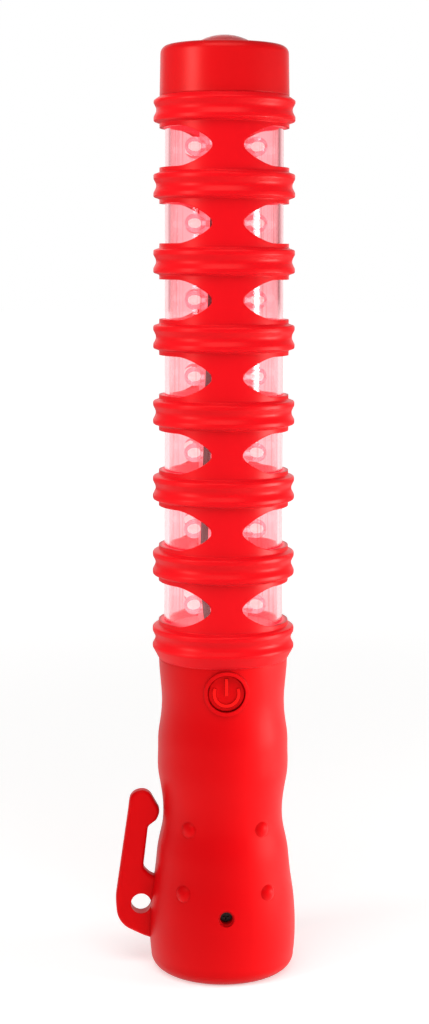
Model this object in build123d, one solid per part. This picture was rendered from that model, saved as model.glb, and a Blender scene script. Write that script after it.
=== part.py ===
from build123d import *
import math
import os

# Hand-held LED safety flare: a clear light tube in a ringed rubber sleeve, a red head cap with a
# small torch lens, and a soft grip with a power button, a moulded hook and a screw cap below.
# Millimetres. +Z runs up the flare, the origin is the centre of the flat foot, the button faces -Y
# and the hook stands on the -X side.

os.makedirs("parts", exist_ok=True)

# Fits
GLUE_GAP = 0.05          # radial gap between pieces that are glued or moulded over each other
TURN_CLEARANCE = 0.08    # radial running clearance of the cap's threaded plug
MOVING_GAP = 0.3         # gap left around a piece that moves and guides nothing
LOOSE_GAP = 0.1          # assembly gap between pieces that are dropped in
TINY = 1e-6

# Light tube
TUBE_R = 15.85
TUBE_WALL = 1.25

# Ringed sleeve
RING_COUNT = 8
RING_PITCH = 20.16
SLEEVE_WALL = 1.45
SLEEVE_FOOT = 5.4        # lower end of the sleeve to the first ring's centre
RING_HALF_HEIGHT = 3.6
RIB_HEIGHT = 1.6         # how far a rib's crest stands out of the sleeve
RIB_INNER = 1.85         # a rib's two shoulders from its ring's centre
RIB_OUTER = 3.05
RIB_END_OUTER = 2.5      # outer shoulder of the last rib at either end, which slopes away
RIB_GROOVE = 0.95
RIB_FLANK_R = 0.6
RIB_CREST_R = 0.8
RIB_GROOVE_R = 1.8
SLEEVE_FOOT_R = 0.4      # rounding of the sleeve's bottom edge, its steps to the rings and its top edge
SLEEVE_STEP_R = 0.3
SLEEVE_TOP_R = 0.2        # depth of the valley between a ring's two ribs
WINDOW_HALF_HEIGHT = 5.3
WEB_HALF_WIDTH = 4.1     # half the web left at the front and at the back

# Head
CAP_HEIGHT = 13.4
CAP_WALL = 1.4
CAP_TOP = 1.8
CAP_DRAFT = 0.25
CAP_EDGE_R = 2.2
CAP_FOOT_EDGE_R = 0.25
CAP_HOLE_EDGE_R = 0.3
CAP_CEILING_R = 0.8
TUBE_IN_CAP = 2.9
LENS_R = 8.7
LENS_DOME = 2.95
LENS_FLANGE = 1.6
LENS_FLANGE_THICKNESS = 0.9
GASKET_THICKNESS = 0.7
PLUG_FLANGE = 1.5
PLUG_SPIGOT = 4.0
TORCH_BOARD_R = 12.5
BOARD_THICKNESS = 1.2
TORCH_LED_SIZE = 3.5
TORCH_LED_DOME = 0.4        # radius of its dome over its size
TORCH_LED_HEIGHT = 1.0
REFLECTOR_WALL = 0.8
REFLECTOR_RIM_INSET = 0.2
REFLECTOR_SIDE_OUT = 1.6   # how far the middle of its side stands inside the rim, outside and in
REFLECTOR_SIDE_IN = 2.9
REFLECTOR_SIDE_DROP = 0.3
REFLECTOR_THROAT_R = 2.9

# Light core
POST_WALL = 1.5
BOARD_CORNER_GAP = 0.15  # how far a board's edge stays back from the post's corner
LED_TIP_GAP = 0.65       # LED tips to the inside of the light tube
LED_BODY_R = 2.5
LED_RIM_R = 2.9
LED_RIM_HEIGHT = 1.0
LED_LENGTH = 8.6
LED_TURNS = (45, 135, 225, 315)
BOARD_NAMES = ("back_right", "back_left", "front_left", "front_right")
RESISTOR_SIZE = (1.6, 0.6, 3.2)
RESISTOR_BELOW_LED = 6.6
CABLE_R = 1.0
CABLE_INSET = 4.0        # cable's ends from the inside of the light tube, along Y
CABLE_FOOT_X = -4.4
CABLE_TOP_X = -2.0
CABLE_TOP_STEP = 0.6     # how much further in the cable's top end stands
CABLE_LOW_DRIFT = (1.4, 0.9)   # how far the cable wanders out near its foot and its top
CABLE_HIGH_DRIFT = (0.8, 1.6)
CORE_FOOT_THICKNESS = 2.0

# Handle: the grip narrows at two waists, and ends in a neck under the ringed sleeve
LOWER_WAIST_Z = 43.5
NECK_LENGTH = 10.3       # upper waist to the neck
ELECTRONICS_BAY = 17.55  # battery partition to the neck
HOUSING_WALL = 1.6
HOUSING_STEP = 1.65      # how far the housing stands inside the light tube's outside
GRIP_FOOT_T = 4.95       # how thick the grip is over the housing at the foot, belly and neck
GRIP_BELLY_T = 5.3
GRIP_NECK_T = 3.0
GRIP_FOOT_EDGE_R = 3.6
BELLY_Z = 14.5
# Grip thickness by height from the lower waist and from the upper waist
AT_LOWER_WAIST = (
    (-23.0, 4.77),
    (-16.5, 3.83),
    (-10.5, 3.18),
    (-5.5, 2.1),
    (0, 1.82),
    (5.0, 2.43),
    (10.0, 3.24),
    (15.0, 3.23),
)
AT_UPPER_WAIST = ((-10.5, 3.17), (-5.5, 2.48), (0, 2.22), (4.5, 2.58))
SLEEVE_SEAM = 0.2        # seam between the grip and the ringed sleeve
FLANGE_THICKNESS = 3.0
FLANGE_R_STEP = 0.45     # how far the housing's flange stands inside the tube's outside
SPIGOT_LENGTH = 6.7
SPIGOT_WALL = 1.4

# Button
BUTTON_R = 4.75
BUTTON_GAP = 0.2
BEZEL_WALL = 1.0
BEZEL_TO_NECK = 0.35
BEZEL_STAND = 0.65
BUTTON_THICKNESS = 1.35
BUTTON_BACK_GAP = 0.75   # gap between the button and the housing behind it
BUTTON_STEM_R = 2.5
BUTTON_TRAVEL = 0.6
BUTTON_EDGE_R = 0.3
SYMBOL_R = 3.25
SYMBOL_STROKE = 0.75
SYMBOL_HEIGHT = 0.35
SYMBOL_ROOT = 0.2        # how deep the symbol is rooted in the button
SYMBOL_OPEN_DEG = 134
SYMBOL_BAR_TOP = 3.9
SYMBOL_BAR_BOTTOM = -0.6

# Pips on the grip
PIP_R = 2.1
PIP_HEIGHT = 1.1
PIP_ANGLE = 37
PIP_Z = (39.9, 23.5)

# Hook: its outline gives each corner's place out from the belly, its height and its rounding.
# The foot's heights are from the flare's foot, the head's from the lower waist.
HOOK_THICKNESS = 3.8
HOOK_EDGE_R = 0.9
HOOK_ROOT = 1.5          # how deep the plate is rooted in the grip, outside the housing
HOOK_FOOT_OUTER = ((2.0, 8.3, 5), (8.7, 11.5, 6.5), (9.3, 18.5, 12))
HOOK_HEAD = (
    (5.9, -1.0, 3),
    (5.4, 3.4, 3.0),
    (0.7, 4.5, 3.0),
    (-2.7, -1.5, 2.4),
    (-1.7, -4.0, 2.0),
    (0.6, -5.7, 1.6),
)
HOOK_FOOT_INNER = ((1.9, 26.6, 2.2), (0.2, 24.9, 3))
HOOK_ROOT_Z = (6.2, 23.0)
LANYARD_R = 2.7
LANYARD_OUT = 2.45       # the lanyard hole's centre out from the belly
LANYARD_Z = 17.0

# Side screw
SCREW_Z = 18.4
SCREW_HOLE_R = 1.65
SCREW_MOUTH_R = 2.05
SCREW_MOUTH_DEPTH = 0.85 # step of the hole's mouth below the belly's surface
SCREW_HEAD_R = 1.5
SCREW_HEAD_HEIGHT = 1.3
SCREW_SHANK_R = 0.8
SCREW_SEAT = 1.2         # grip left between the screw's head and the housing
SCREW_CROSS_LENGTH = 1.8
SCREW_CROSS_WIDTH = 0.4
SCREW_CROSS_DEPTH = 0.6

# Battery cap
FOOT_RECESS = 0.45
CAP_HEAD_HEIGHT = 2.55
CAP_PLUG_LENGTH = 6.0
CAP_PLUG_WALL = 2.2
CAP_FLOOR = 2.0
CAP_RIM_R = 0.6           # roundings of the cap's rim, shoulder and plug
CAP_SHOULDER_R = 0.2
CAP_PLUG_EDGE_R = 0.3
SEAL_R = 0.6             # half the thickness of the rubber seal
SEAL_Z_IN_PLUG = 4.8
COIN_SLOT = (16.0, 1.6, 0.8)
MAGNET_THICKNESS = 3.0
CONTACT_THICKNESS = 0.5
TAIL_SPRING_R = 4.5
TAIL_SPRING_HEIGHT = 5.6
SPRING_WIRE_R = 0.35

# Cells and their carrier
CELL_R = 5.25
CELL_LENGTH = 44.5
CELL_NUB_R = 1.9
CELL_NUB = 0.8
CELL_GAP = 0.25
CARRIER_GAP = 0.6
CARRIER_PLATE = 1.8
CELL_SPRING_R = 3.0
CELL_SPRING_HEIGHT = 3.3
CARRIER_BAR = 3.0
CARRIER_BAR_INSET = 0.3
PARTITION_THICKNESS = 1.5

# Electronics in the handle
CONTROL_BOARD_Y = -6.0
CONTROL_BOARD_WIDTH = 18.0
CONTROL_BOARD_DROP = 1.5 # the board's top edge below the spigot's rim
PLUNGER_REST = 0.6       # plunger left showing when it is pressed right in
PLUNGER_FOOT_STEP = 0.5
SWITCH_SIZE = 6.0
SWITCH_DEPTH = 3.5
PLUNGER_R = 1.75
CHIP_SIZE = (5.0, 1.5, 4.0)
CONNECTOR_SIZE = (6.0, 3.0, 4.5)
CONNECTOR_PLAY = 0.2

# Worked out from the sizes above
TUBE_BORE = TUBE_R - TUBE_WALL
SLEEVE_BORE = TUBE_R + GLUE_GAP
SLEEVE_R = SLEEVE_BORE + SLEEVE_WALL
CREST_R = SLEEVE_R + RIB_HEIGHT
HOUSING_R = TUBE_R - HOUSING_STEP
HOUSING_BORE = HOUSING_R - HOUSING_WALL
FLANGE_R = TUBE_R - FLANGE_R_STEP
SPIGOT_R = TUBE_BORE - LOOSE_GAP
BELLY_R = HOUSING_R + GLUE_GAP + GRIP_BELLY_T
CAP_HEAD_R = HOUSING_R + GLUE_GAP - MOVING_GAP
CAP_SHOULDER_Z = FOOT_RECESS + CAP_HEAD_HEIGHT
HOUSING_BOTTOM = CAP_SHOULDER_Z + MOVING_GAP
PLUG_R = HOUSING_BORE - TURN_CLEARANCE
SEAL_RING_R = HOUSING_BORE - TURN_CLEARANCE / 2 - SEAL_R
MAGNET_R = PLUG_R - CAP_PLUG_WALL - LOOSE_GAP
MAGNET_Z = FOOT_RECESS + CAP_FLOOR
CONTACT_Z = MAGNET_Z + MAGNET_THICKNESS
TAIL_SPRING_Z = CONTACT_Z + CONTACT_THICKNESS
CARRIER_Z = TAIL_SPRING_Z + TAIL_SPRING_HEIGHT + LOOSE_GAP
CARRIER_R = HOUSING_BORE - CARRIER_GAP
CELL_RING_R = (CELL_R + CELL_GAP / 2) * 2 / math.sqrt(3)
CELL_BAY = CELL_LENGTH + CELL_SPRING_HEIGHT + CONTACT_THICKNESS + LOOSE_GAP
CARRIER_LENGTH = CELL_BAY + 2 * CARRIER_PLATE
PARTITION_Z = CARRIER_Z + CARRIER_LENGTH + CONTACT_THICKNESS + LOOSE_GAP
CONTROL_BOARD_Z = PARTITION_Z + PARTITION_THICKNESS
NECK_Z = CONTROL_BOARD_Z + ELECTRONICS_BAY
UPPER_WAIST_Z = NECK_Z - NECK_LENGTH
SPIGOT_TOP = NECK_Z + SPIGOT_LENGTH
CONTROL_BOARD_TOP = SPIGOT_TOP - CONTROL_BOARD_DROP
SLEEVE_BOTTOM = NECK_Z + SLEEVE_SEAM
FIRST_RING_Z = SLEEVE_BOTTOM + SLEEVE_FOOT
RING_Z = [FIRST_RING_Z + i * RING_PITCH for i in range(RING_COUNT)]
WINDOW_Z = [z + RING_PITCH / 2 for z in RING_Z[:-1]]
SLEEVE_TOP = RING_Z[-1] + RING_HALF_HEIGHT
CAP_BOTTOM = SLEEVE_TOP + LOOSE_GAP
CAP_TOP_Z = CAP_BOTTOM + CAP_HEIGHT
CAP_R = TUBE_R + LOOSE_GAP + CAP_WALL
TUBE_TOP = CAP_BOTTOM + TUBE_IN_CAP
PLUG_TOP = TUBE_TOP + PLUG_FLANGE
LENS_FLANGE_Z = CAP_TOP_Z - CAP_TOP - GASKET_THICKNESS - LENS_FLANGE_THICKNESS
LENS_FLANGE_R = LENS_R + LENS_FLANGE
LED_SEAT = TUBE_BORE - LED_TIP_GAP - LED_LENGTH
POST_HALF = LED_SEAT - BOARD_THICKNESS
BOARD_HALF_WIDTH = POST_HALF - BOARD_CORNER_GAP
FOOT_TOP = SPIGOT_TOP + CORE_FOOT_THICKNESS
CORE_TOP = TUBE_TOP - PLUG_SPIGOT
CABLE_FOOT_XY = (CABLE_FOOT_X, CABLE_INSET - TUBE_BORE)
CABLE_TOP_XY = (CABLE_TOP_X, CABLE_INSET + CABLE_TOP_STEP - TUBE_BORE)
BEZEL_BORE_R = BUTTON_R + BUTTON_GAP
BUTTON_Z = NECK_Z - BEZEL_TO_NECK - BEZEL_WALL - BEZEL_BORE_R
BUTTON_BACK_Y = -(HOUSING_R + BUTTON_BACK_GAP)
SWITCH_FRONT_Y = CONTROL_BOARD_Y - SWITCH_DEPTH
PLUNGER_LENGTH = BUTTON_TRAVEL + PLUNGER_REST


def on_z(z, solid):
    """A solid raised to height z."""
    return Pos(0, 0, z) * solid


def disc(radius, z, height):
    """A round disc standing on height z."""
    return on_z(z, Cylinder(radius, height, align=(Align.CENTER, Align.CENTER, Align.MIN)))


def ring(outer, inner, z, height):
    """A flat-ended ring standing on height z."""
    return disc(outer, z, height) - disc(inner, z, height)


def spun(outline):
    """A solid turned about the flare's axis from a closed outline in the XZ plane."""
    return revolve(make_face(Plane.XZ * outline), Axis.Z)


def peg(radius, y_front, y_back, z):
    """A round peg along Y, from y_front to y_back, at height z."""
    body = Cylinder(radius, y_back - y_front, align=(Align.CENTER, Align.CENTER, Align.MIN))
    return Pos(0, y_back, z) * Rot(90, 0, 0) * body


def tray(width, depth, height, x, y, z):
    """A block centred on x and y, standing on height z."""
    return Pos(x, y, z) * Box(width, depth, height, align=(Align.CENTER, Align.CENTER, Align.MIN))


def coil(radius, height, z):
    """A round-wire compression spring of four turns, standing on height z."""
    rise = height - 2 * SPRING_WIRE_R
    path = Helix(pitch=rise / 4, height=rise, radius=radius, center=(0, 0, z + SPRING_WIRE_R))
    section = Plane(origin=path @ 0, z_dir=path % 0) * Circle(SPRING_WIRE_R)
    return sweep(section, path=path, is_frenet=True)


# Ringed sleeve ------------------------------------------------------------------------------------

def sleeve_outline():
    """The sleeve's half section: a thin wall with two rounded ribs at every ring."""
    points = [(SLEEVE_BORE, SLEEVE_BOTTOM), (SLEEVE_R, SLEEVE_BOTTOM)]
    radii = [0, SLEEVE_FOOT_R]
    for z in RING_Z:
        first, last = z == RING_Z[0], z == RING_Z[-1]
        if not first:
            points.append((SLEEVE_R, z - RING_HALF_HEIGHT))
            radii.append(SLEEVE_STEP_R)
        points += [
            (CREST_R, z - (RIB_END_OUTER if first else RIB_OUTER)),
            (CREST_R, z - RIB_INNER),
            (CREST_R - RIB_GROOVE, z),
            (CREST_R, z + RIB_INNER),
            (CREST_R, z + (RIB_END_OUTER if last else RIB_OUTER)),
        ]
        radii += [RIB_FLANK_R, RIB_CREST_R, RIB_GROOVE_R, RIB_CREST_R, RIB_FLANK_R]
        if not last:
            points.append((SLEEVE_R, z + RING_HALF_HEIGHT))
            radii.append(SLEEVE_STEP_R)
    points += [(SLEEVE_R, SLEEVE_TOP), (SLEEVE_BORE, SLEEVE_TOP)]
    radii += [SLEEVE_TOP_R, 0]
    return FilletPolyline(*points, radius=radii, close=True)


def window(side):
    """One window's cutter: a slot with round ends that runs out sideways from the web."""
    reach = CREST_R + 2
    tip = math.sqrt(SLEEVE_R**2 - WEB_HALF_WIDTH**2)
    slot = Plane.YZ * SlotOverall(2 * tip, 2 * WINDOW_HALF_HEIGHT)
    return Pos(side * WEB_HALF_WIDTH, 0, 0) * extrude(slot, side * reach)


def cage_sleeve():
    body = spun(sleeve_outline())
    for z in WINDOW_Z:
        for side in (-1, 1):
            body -= on_z(z, window(side))
    return body


def clear_tube():
    return ring(TUBE_R, TUBE_BORE, NECK_Z, TUBE_TOP - NECK_Z)


# Head ---------------------------------------------------------------------------------------------

def head_cap():
    top_r = CAP_R - CAP_DRAFT
    bore = TUBE_R + LOOSE_GAP
    ceiling = CAP_TOP_Z - CAP_TOP
    hole = LENS_R + LOOSE_GAP
    points = [
        (bore, CAP_BOTTOM),
        (CAP_R, CAP_BOTTOM),
        (top_r, CAP_TOP_Z),
        (hole, CAP_TOP_Z),
        (hole, ceiling),
        (bore, ceiling),
    ]
    radii = [0, CAP_FOOT_EDGE_R, CAP_EDGE_R, CAP_HOLE_EDGE_R, 0, CAP_CEILING_R]
    return spun(FilletPolyline(*points, radius=radii, close=True))


def torch_lens():
    ball_r = (LENS_R**2 + LENS_DOME**2) / (2 * LENS_DOME)
    dome = on_z(CAP_TOP_Z + LENS_DOME - ball_r, Sphere(ball_r))
    stem = disc(LENS_R, LENS_FLANGE_Z, CAP_TOP_Z + LENS_DOME - LENS_FLANGE_Z)
    return (stem & dome) + disc(LENS_FLANGE_R, LENS_FLANGE_Z, LENS_FLANGE_THICKNESS)


def lens_gasket():
    inner = LENS_R + LOOSE_GAP
    return ring(LENS_FLANGE_R, inner, LENS_FLANGE_Z + LENS_FLANGE_THICKNESS, GASKET_THICKNESS)


def torch_reflector():
    bottom = PLUG_TOP + BOARD_THICKNESS
    rim_r = LENS_FLANGE_R - REFLECTOR_RIM_INSET
    throat = REFLECTOR_THROAT_R
    outer = [(throat + REFLECTOR_WALL, bottom), (LENS_FLANGE_R, LENS_FLANGE_Z)]
    inner = [(rim_r - REFLECTOR_WALL, LENS_FLANGE_Z), (throat, bottom)]
    middle = (bottom + LENS_FLANGE_Z) / 2
    side_out = (rim_r - REFLECTOR_SIDE_OUT, middle - REFLECTOR_SIDE_DROP)
    bowl_out = ThreePointArc(outer[0], side_out, outer[1])
    rim = Line(outer[1], inner[0])
    bowl_in = ThreePointArc(inner[0], (rim_r - REFLECTOR_SIDE_IN, middle), inner[1])
    return spun(bowl_out + rim + bowl_in + Line(inner[1], outer[0]))


def tube_plug():
    body = disc(TUBE_R, TUBE_TOP, PLUG_FLANGE) + disc(SPIGOT_R, TUBE_TOP - PLUG_SPIGOT, PLUG_SPIGOT)
    return body - cable_hole(TUBE_TOP - PLUG_SPIGOT, PLUG_TOP, CABLE_TOP_XY)


def torch_board():
    board = disc(TORCH_BOARD_R, PLUG_TOP, BOARD_THICKNESS)
    return board - cable_hole(PLUG_TOP, PLUG_TOP + BOARD_THICKNESS, CABLE_TOP_XY)


def torch_led():
    z = PLUG_TOP + BOARD_THICKNESS
    base = tray(TORCH_LED_SIZE, TORCH_LED_SIZE, TORCH_LED_HEIGHT / 2, 0, 0, z)
    dome = Sphere(TORCH_LED_SIZE * TORCH_LED_DOME)
    dome &= tray(TORCH_LED_SIZE, TORCH_LED_SIZE, TORCH_LED_SIZE, 0, 0, 0)
    return base + on_z(z + TORCH_LED_HEIGHT / 2, dome)


# Light core ---------------------------------------------------------------------------------------

def cable_hole(z_low, z_high, xy):
    """The passage for the torch cable through a disc."""
    return Pos(xy[0], xy[1], 0) * disc(CABLE_R + LOOSE_GAP, z_low - 0.5, z_high - z_low + 1)


def core_post():
    size = 2 * POST_HALF
    post = tray(size, size, CORE_TOP - FOOT_TOP, 0, 0, FOOT_TOP)
    return Rot(0, 0, 45) * (post - disc(POST_HALF - POST_WALL, FOOT_TOP, CORE_TOP - FOOT_TOP))


def led_board(turn):
    """One long LED board, lying on the face of the post that looks towards turn degrees."""
    height = CORE_TOP - FOOT_TOP
    x = POST_HALF + BOARD_THICKNESS / 2
    return Rot(0, 0, turn) * tray(BOARD_THICKNESS, 2 * BOARD_HALF_WIDTH, height, x, 0, FOOT_TOP)


def led():
    """A round 5 mm LED that stands on its board and looks along +X."""
    straight = LED_LENGTH - LED_BODY_R
    rim = Cylinder(LED_RIM_R, LED_RIM_HEIGHT, align=(Align.CENTER, Align.CENTER, Align.MIN))
    body = Cylinder(LED_BODY_R, straight, align=(Align.CENTER, Align.CENTER, Align.MIN))
    body += Pos(0, 0, straight) * Sphere(LED_BODY_R)
    return Pos(LED_SEAT, 0, 0) * Rot(0, 90, 0) * (rim + body)


def led_column(turn):
    """The seven LEDs of one board, one behind each window."""
    return Compound([Pos(0, 0, z) * Rot(0, 0, turn) * led() for z in WINDOW_Z])


def resistors():
    """A chip resistor below every LED."""
    chips = []
    for turn in LED_TURNS:
        for z in WINDOW_Z:
            width, depth, height = RESISTOR_SIZE
            chip = tray(depth, width, height, LED_SEAT + depth / 2, 0, z - RESISTOR_BELOW_LED)
            chips.append(Rot(0, 0, turn) * chip)
    return Compound(chips)


def core_foot():
    """The disc that carries the post on the housing's spigot."""
    foot = disc(SPIGOT_R, SPIGOT_TOP, FOOT_TOP - SPIGOT_TOP)
    width, depth, _ = CONNECTOR_SIZE
    plug_hole = tray(width + CONNECTOR_PLAY, depth + CONNECTOR_PLAY, 4, 0, 0, SPIGOT_TOP - 1)
    return foot - plug_hole - cable_hole(SPIGOT_TOP, FOOT_TOP, CABLE_FOOT_XY)


def core_connector():
    return tray(*CONNECTOR_SIZE, 0, 0, FOOT_TOP - CONNECTOR_SIZE[2])


def torch_cable():
    """The jacketed cable that climbs past the LED boards to the torch board."""
    start = CONTROL_BOARD_TOP - 8
    end = PLUG_TOP + BOARD_THICKNESS
    foot_x, foot_y = CABLE_FOOT_XY
    top_x, top_y = CABLE_TOP_XY
    points = [
        (foot_x, foot_y, start),
        (foot_x, foot_y, FOOT_TOP + 2),
        (foot_x - CABLE_LOW_DRIFT[0], foot_y - CABLE_LOW_DRIFT[1], FOOT_TOP + 14),
        (top_x - CABLE_HIGH_DRIFT[0], top_y - CABLE_HIGH_DRIFT[1], CORE_TOP - 12),
        (top_x, top_y, CORE_TOP - 1),
        (top_x, top_y, end),
    ]
    path = FilletPolyline(*points, radius=[25, 25, 25, 25])
    section = Plane(origin=path @ 0, z_dir=path % 0) * Circle(CABLE_R)
    return sweep(section, path=path)


# Handle -------------------------------------------------------------------------------------------

def handle_housing():
    """The stiff inner tube of the handle, with a flange and spigot for the light tube."""
    body = ring(HOUSING_R, HOUSING_BORE, HOUSING_BOTTOM, NECK_Z - HOUSING_BOTTOM)
    body += ring(FLANGE_R, HOUSING_BORE, NECK_Z - FLANGE_THICKNESS, FLANGE_THICKNESS)
    body += ring(SPIGOT_R, SPIGOT_R - SPIGOT_WALL, NECK_Z - 1, SPIGOT_LENGTH + 1)
    body -= disc(HOUSING_BORE, NECK_Z - 1, 1)
    body -= peg(BEZEL_BORE_R + LOOSE_GAP, -(FLANGE_R + 1), -HOUSING_R, BUTTON_Z)
    body -= peg(BUTTON_STEM_R + MOVING_GAP, -(HOUSING_R + 1), 0, BUTTON_Z)
    return body - peg(SCREW_SHANK_R, -(HOUSING_R + 1), 0, SCREW_Z)


def grip_skin(stand):
    """The grip's outer shape as a solid, stand millimetres proud of its surface."""
    base = HOUSING_R + GLUE_GAP + stand
    foot_r = base + GRIP_FOOT_T
    edge = GRIP_FOOT_EDGE_R
    stations = [(foot_r, edge), (base + GRIP_BELLY_T, BELLY_Z)]
    stations += [(base + thick, LOWER_WAIST_Z + rise) for rise, thick in AT_LOWER_WAIST]
    stations += [(base + thick, UPPER_WAIST_Z + rise) for rise, thick in AT_UPPER_WAIST]
    stations.append((base + GRIP_NECK_T, NECK_Z))
    side = Spline(*stations)
    foot_edge = RadiusArc((foot_r - edge, 0), (foot_r, edge), -edge)
    closing = Polyline((base + GRIP_NECK_T, NECK_Z), (0, NECK_Z), (0, 0), (foot_r - edge, 0))
    return spun(foot_edge + side + closing)


def pip(turn, z, skin):
    """A low round pip that stands PIP_HEIGHT out of the grip at the given turn and height."""
    ball_r = (PIP_R**2 + PIP_HEIGHT**2) / (2 * PIP_HEIGHT)
    ray = Edge.make_line((0, 0, z), (CREST_R * 2, 0, z))
    surface = (ray & skin).bounding_box().max.X
    return Rot(0, 0, turn) * Pos(surface + PIP_HEIGHT - ball_r, 0, z) * Sphere(ball_r)


def hook():
    """The flat hook: it leaves the grip low down, climbs beside it and ends in a rounded head."""
    root = -(HOUSING_R + HOOK_ROOT)
    corners = [(-(BELLY_R + out), z, r) for out, z, r in HOOK_FOOT_OUTER]
    corners += [(-(BELLY_R + out), LOWER_WAIST_Z + z, r) for out, z, r in HOOK_HEAD]
    corners += [(-(BELLY_R + out), z, r) for out, z, r in HOOK_FOOT_INNER]
    points = [(root, HOOK_ROOT_Z[0])] + [(x, z) for x, z, _ in corners] + [(root, HOOK_ROOT_Z[1])]
    radii = [0] + [r for _, _, r in corners] + [0]
    face = make_face(Plane.XZ * FilletPolyline(*points, radius=radii, close=True))
    plate = extrude(face, HOOK_THICKNESS / 2, both=True)
    sides = plate.faces().sort_by(Axis.Y)
    rims = sides[0].edges() + sides[-1].edges()
    return fillet([rim for rim in rims if rim.bounding_box().size.X > TINY], HOOK_EDGE_R)


def grip():
    """The soft grip with its bezel, pips, screw hole and hook, moulded in one over the housing."""
    skin = grip_skin(0)
    bezel = peg(BEZEL_BORE_R + BEZEL_WALL, -(CREST_R + 2), -HOUSING_R, BUTTON_Z)
    body = skin + (bezel & grip_skin(BEZEL_STAND))
    for z in PIP_Z:
        for turn in (-90 - PIP_ANGLE, -90 + PIP_ANGLE, 90 - PIP_ANGLE, 90 + PIP_ANGLE):
            body += pip(turn, z, skin)
    body += hook()
    lanyard_x = -(BELLY_R + LANYARD_OUT)
    body -= Pos(lanyard_x, 0, 0) * peg(LANYARD_R, -HOOK_THICKNESS, HOOK_THICKNESS, LANYARD_Z)
    body -= disc(HOUSING_R + GLUE_GAP, -1, NECK_Z + 2)
    body -= disc(FLANGE_R + GLUE_GAP, NECK_Z - FLANGE_THICKNESS - GLUE_GAP, FLANGE_THICKNESS + 1)
    body -= peg(BEZEL_BORE_R, -(CREST_R + 2), 0, BUTTON_Z)
    seat = HOUSING_R + GLUE_GAP + SCREW_SEAT
    outside = -(BELLY_R + 1)
    body -= peg(SCREW_HOLE_R, outside, -seat, SCREW_Z)
    body -= peg(SCREW_MOUTH_R, outside, SCREW_MOUTH_DEPTH - BELLY_R, SCREW_Z)
    return body - peg(SCREW_SHANK_R, -(seat + 1), 0, SCREW_Z)


def grip_screw():
    """The small cross-head screw that holds the grip to the housing."""
    seat = HOUSING_R + GLUE_GAP + SCREW_SEAT
    tip = HOUSING_BORE + LOOSE_GAP
    screw = peg(SCREW_HEAD_R, -(seat + SCREW_HEAD_HEIGHT), -seat, SCREW_Z)
    screw += peg(SCREW_SHANK_R, -seat, -tip, SCREW_Z)
    long, short = SCREW_CROSS_LENGTH, SCREW_CROSS_WIDTH
    for size in ((long, short), (short, long)):
        face_y = -(seat + SCREW_HEAD_HEIGHT)
        screw -= Pos(0, face_y, SCREW_Z) * Box(size[0], 2 * SCREW_CROSS_DEPTH, size[1])
    return screw


# Button and electronics ---------------------------------------------------------------------------

def power_button():
    """The round button with its stem and a raised power symbol."""
    front = BUTTON_BACK_Y - BUTTON_THICKNESS
    stem_end = SWITCH_FRONT_Y - PLUNGER_LENGTH
    cap = peg(BUTTON_R, front, BUTTON_BACK_Y, BUTTON_Z)
    cap = fillet(cap.edges().filter_by(GeomType.CIRCLE).sort_by(Axis.Y)[0], BUTTON_EDGE_R)
    cap += peg(BUTTON_STEM_R, BUTTON_BACK_Y, stem_end, BUTTON_Z)
    outer = SYMBOL_R + SYMBOL_STROKE / 2
    arc = peg(outer, front - SYMBOL_HEIGHT, front + SYMBOL_ROOT, BUTTON_Z)
    arc -= peg(outer - SYMBOL_STROKE, front - 1, front + 1, BUTTON_Z)
    reach = 2 * BUTTON_R
    half = reach * math.sin(math.radians(SYMBOL_OPEN_DEG / 2))
    top = reach * math.cos(math.radians(SYMBOL_OPEN_DEG / 2))
    wedge = make_face(Plane.XZ * Polyline((0, 0), (half, top), (-half, top), close=True))
    arc -= Pos(0, front + 2, BUTTON_Z) * extrude(wedge, 5)
    bar_height = SYMBOL_BAR_TOP - SYMBOL_BAR_BOTTOM
    bar_y = front + (SYMBOL_ROOT - SYMBOL_HEIGHT) / 2
    bar_z = BUTTON_Z + SYMBOL_BAR_BOTTOM + bar_height / 2
    bar = Pos(0, bar_y, bar_z) * Box(SYMBOL_STROKE, SYMBOL_HEIGHT + SYMBOL_ROOT, bar_height)
    return cap + arc + bar


def switch_plunger():
    front = SWITCH_FRONT_Y - PLUNGER_LENGTH
    head = peg(PLUNGER_R, front, SWITCH_FRONT_Y - BUTTON_TRAVEL - LOOSE_GAP, BUTTON_Z)
    foot = peg(PLUNGER_R - PLUNGER_FOOT_STEP, front, SWITCH_FRONT_Y + LOOSE_GAP, BUTTON_Z)
    return head + foot


def switch_body():
    y = SWITCH_FRONT_Y + SWITCH_DEPTH / 2
    body = tray(SWITCH_SIZE, SWITCH_DEPTH, SWITCH_SIZE, 0, y, BUTTON_Z - SWITCH_SIZE / 2)
    guide_r = PLUNGER_R - PLUNGER_FOOT_STEP + TURN_CLEARANCE
    return body - peg(guide_r, SWITCH_FRONT_Y - 1, SWITCH_FRONT_Y + 2 * BUTTON_TRAVEL, BUTTON_Z)


def control_board():
    height = CONTROL_BOARD_TOP - CONTROL_BOARD_Z
    y = CONTROL_BOARD_Y + BOARD_THICKNESS / 2
    return tray(CONTROL_BOARD_WIDTH, BOARD_THICKNESS, height, 0, y, CONTROL_BOARD_Z)


def control_chip():
    y = CONTROL_BOARD_Y + BOARD_THICKNESS + CHIP_SIZE[1] / 2
    return tray(*CHIP_SIZE, 0, y, BUTTON_Z - CHIP_SIZE[2] / 2)


def battery_partition():
    """The disc that closes the battery bay from above."""
    return disc(HOUSING_BORE - GLUE_GAP, PARTITION_Z, PARTITION_THICKNESS)


def upper_contact():
    return disc(CELL_SPRING_R, PARTITION_Z - CONTACT_THICKNESS, CONTACT_THICKNESS)


# Cells and carrier --------------------------------------------------------------------------------

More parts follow.
